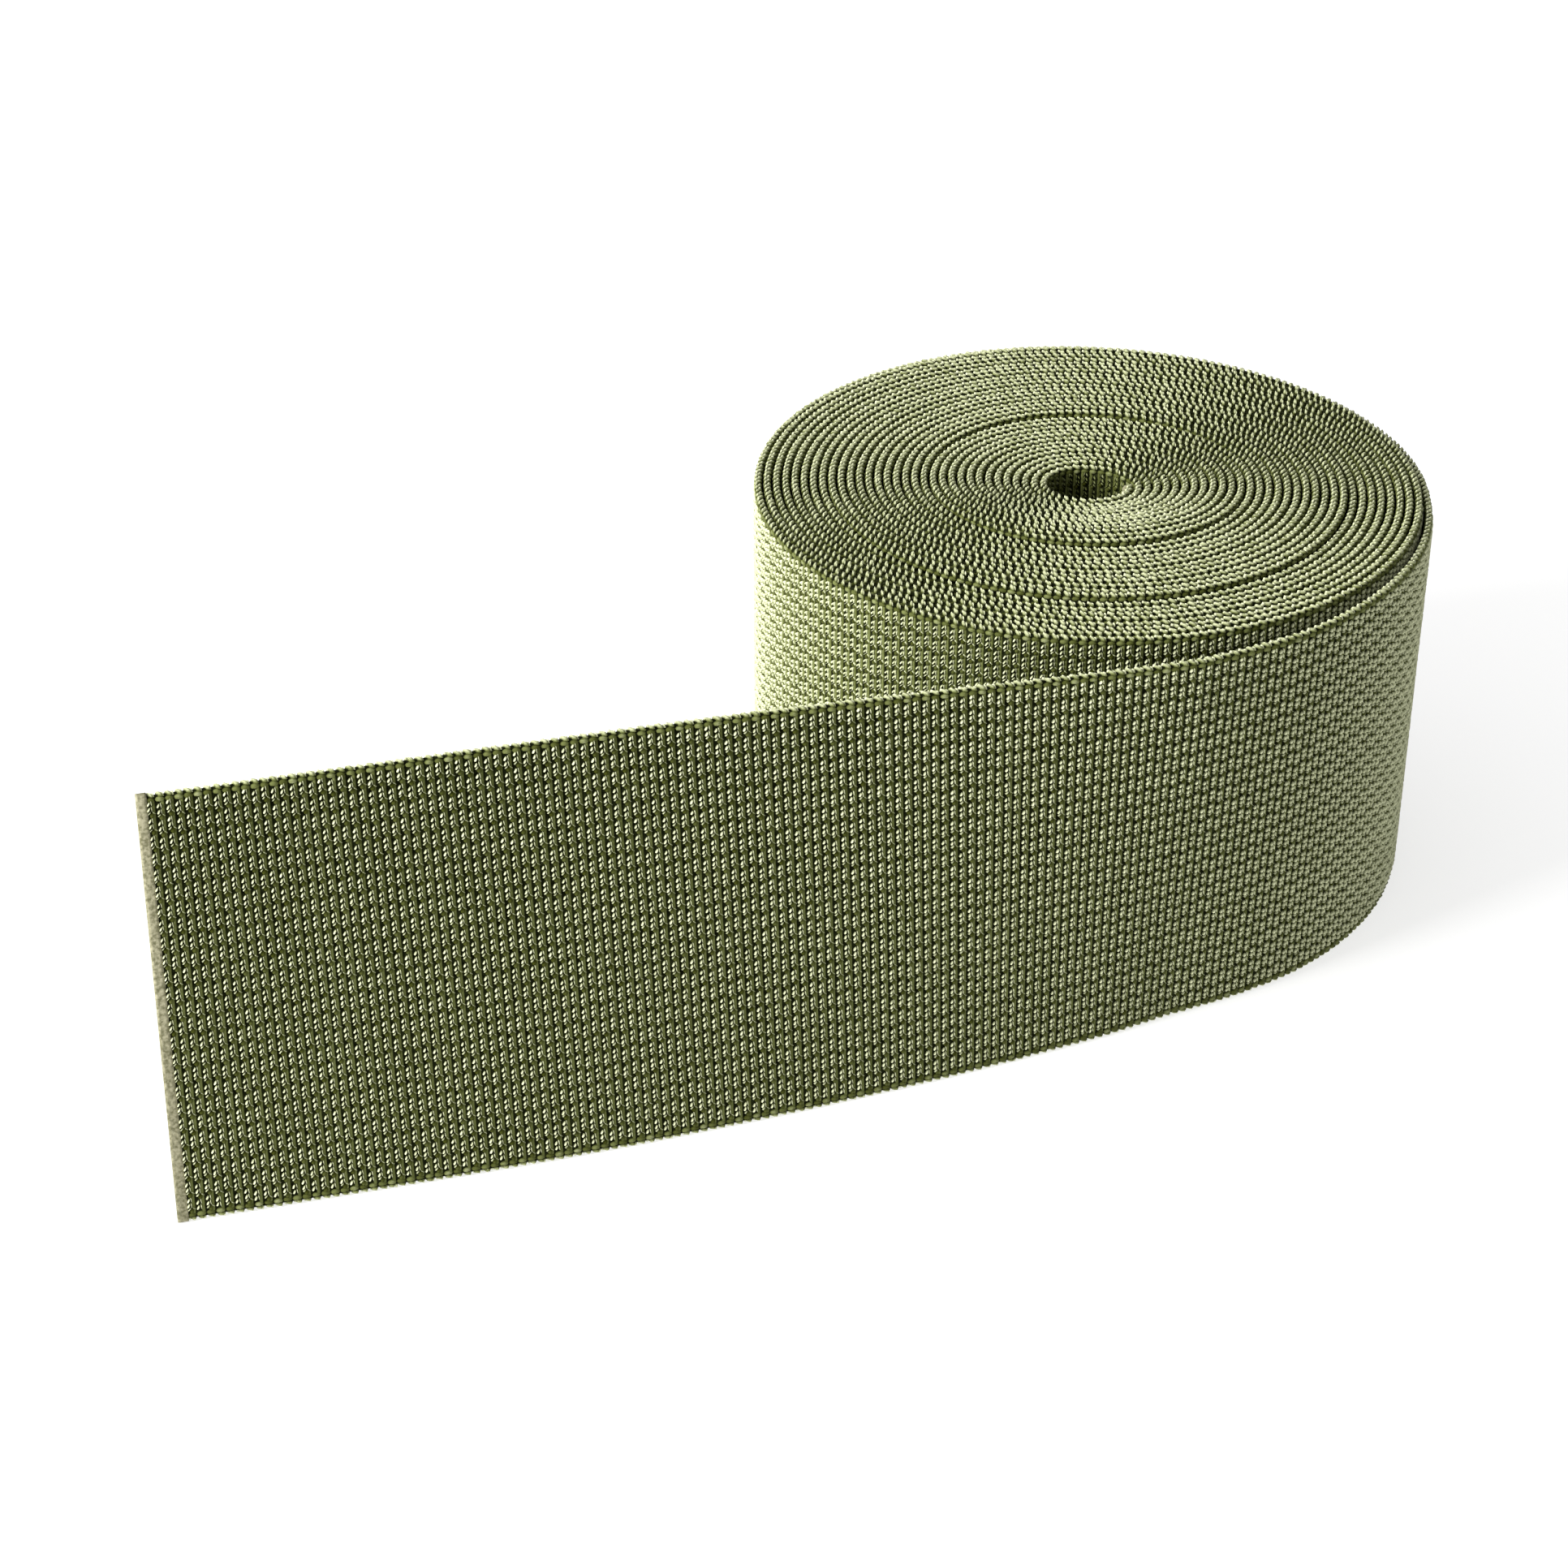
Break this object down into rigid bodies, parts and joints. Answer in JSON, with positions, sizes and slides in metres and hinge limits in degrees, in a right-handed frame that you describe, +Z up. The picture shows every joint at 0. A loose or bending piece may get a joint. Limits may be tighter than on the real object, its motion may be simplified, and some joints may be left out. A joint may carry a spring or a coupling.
{
  "type": "resistance band",
  "caption": "Flat woven elastic resistance band, wound into a roll that stands on its edge, with a free tail that bends and stretches.",
  "frame": {"origin": "on the roll's axis, at the plane that the roll stands on", "axes": "+Z up along the roll's axis; +X to the right and +Y away, with the free tail running towards -X in front of the roll"},
  "size_m": [0.1433, 0.1158, 0.05],
  "materials": {
    "cloth": "woven, ribbed across the width, matt",
    "selvedge": "woven looped edge, matt",
    "sealed_end": "cut and heat sealed, fuzzy",
    "rubber": "natural, matt"
  },
  "bodies": {
    "roll": {"roll_web": "cloth", "roll_rubber": "rubber", "roll_upper_selvedge": "selvedge", "roll_lower_selvedge": "selvedge", "inner_end_seal": "sealed_end"},
    "tail_1": {"tail_1_web": "cloth", "tail_1_rubber": "rubber", "tail_1_upper_selvedge": "selvedge", "tail_1_lower_selvedge": "selvedge"},
    "tail_2": {"tail_2_web": "cloth", "tail_2_rubber": "rubber", "tail_2_upper_selvedge": "selvedge", "tail_2_lower_selvedge": "selvedge"},
    "tail_3": {"tail_3_web": "cloth", "tail_3_rubber": "rubber", "tail_3_upper_selvedge": "selvedge", "tail_3_lower_selvedge": "selvedge"},
    "tail_end": {"tail_end_web": "cloth", "tail_end_rubber": "rubber", "tail_end_upper_selvedge": "selvedge", "tail_end_lower_selvedge": "selvedge", "outer_end_seal": "sealed_end"}
  },
  "joints": [
    {"name": "tail_1_bend", "type": "hinge", "parent": "roll", "child": "tail_1", "pos_m": [0.01737, -0.03791, 0.025], "axis": [0, 0, 1], "range_deg": [-8, 60]},
    {"name": "tail_2_bend", "type": "hinge", "parent": "tail_1", "child": "tail_2", "pos_m": [-0.00547, -0.04807, 0.025], "axis": [0, 0, 1], "range_deg": [-20, 50]},
    {"name": "tail_3_bend", "type": "hinge", "parent": "tail_2", "child": "tail_3", "pos_m": [-0.03703, -0.05772, 0.025], "axis": [0, 0, 1], "range_deg": [-20, 50]},
    {"name": "tail_stretch", "type": "slide", "parent": "tail_3", "child": "tail_end", "axis": [-0.9659, -0.2588, 0], "range_m": [0, 0.015], "stiffness_N_per_m": 600}
  ]
}
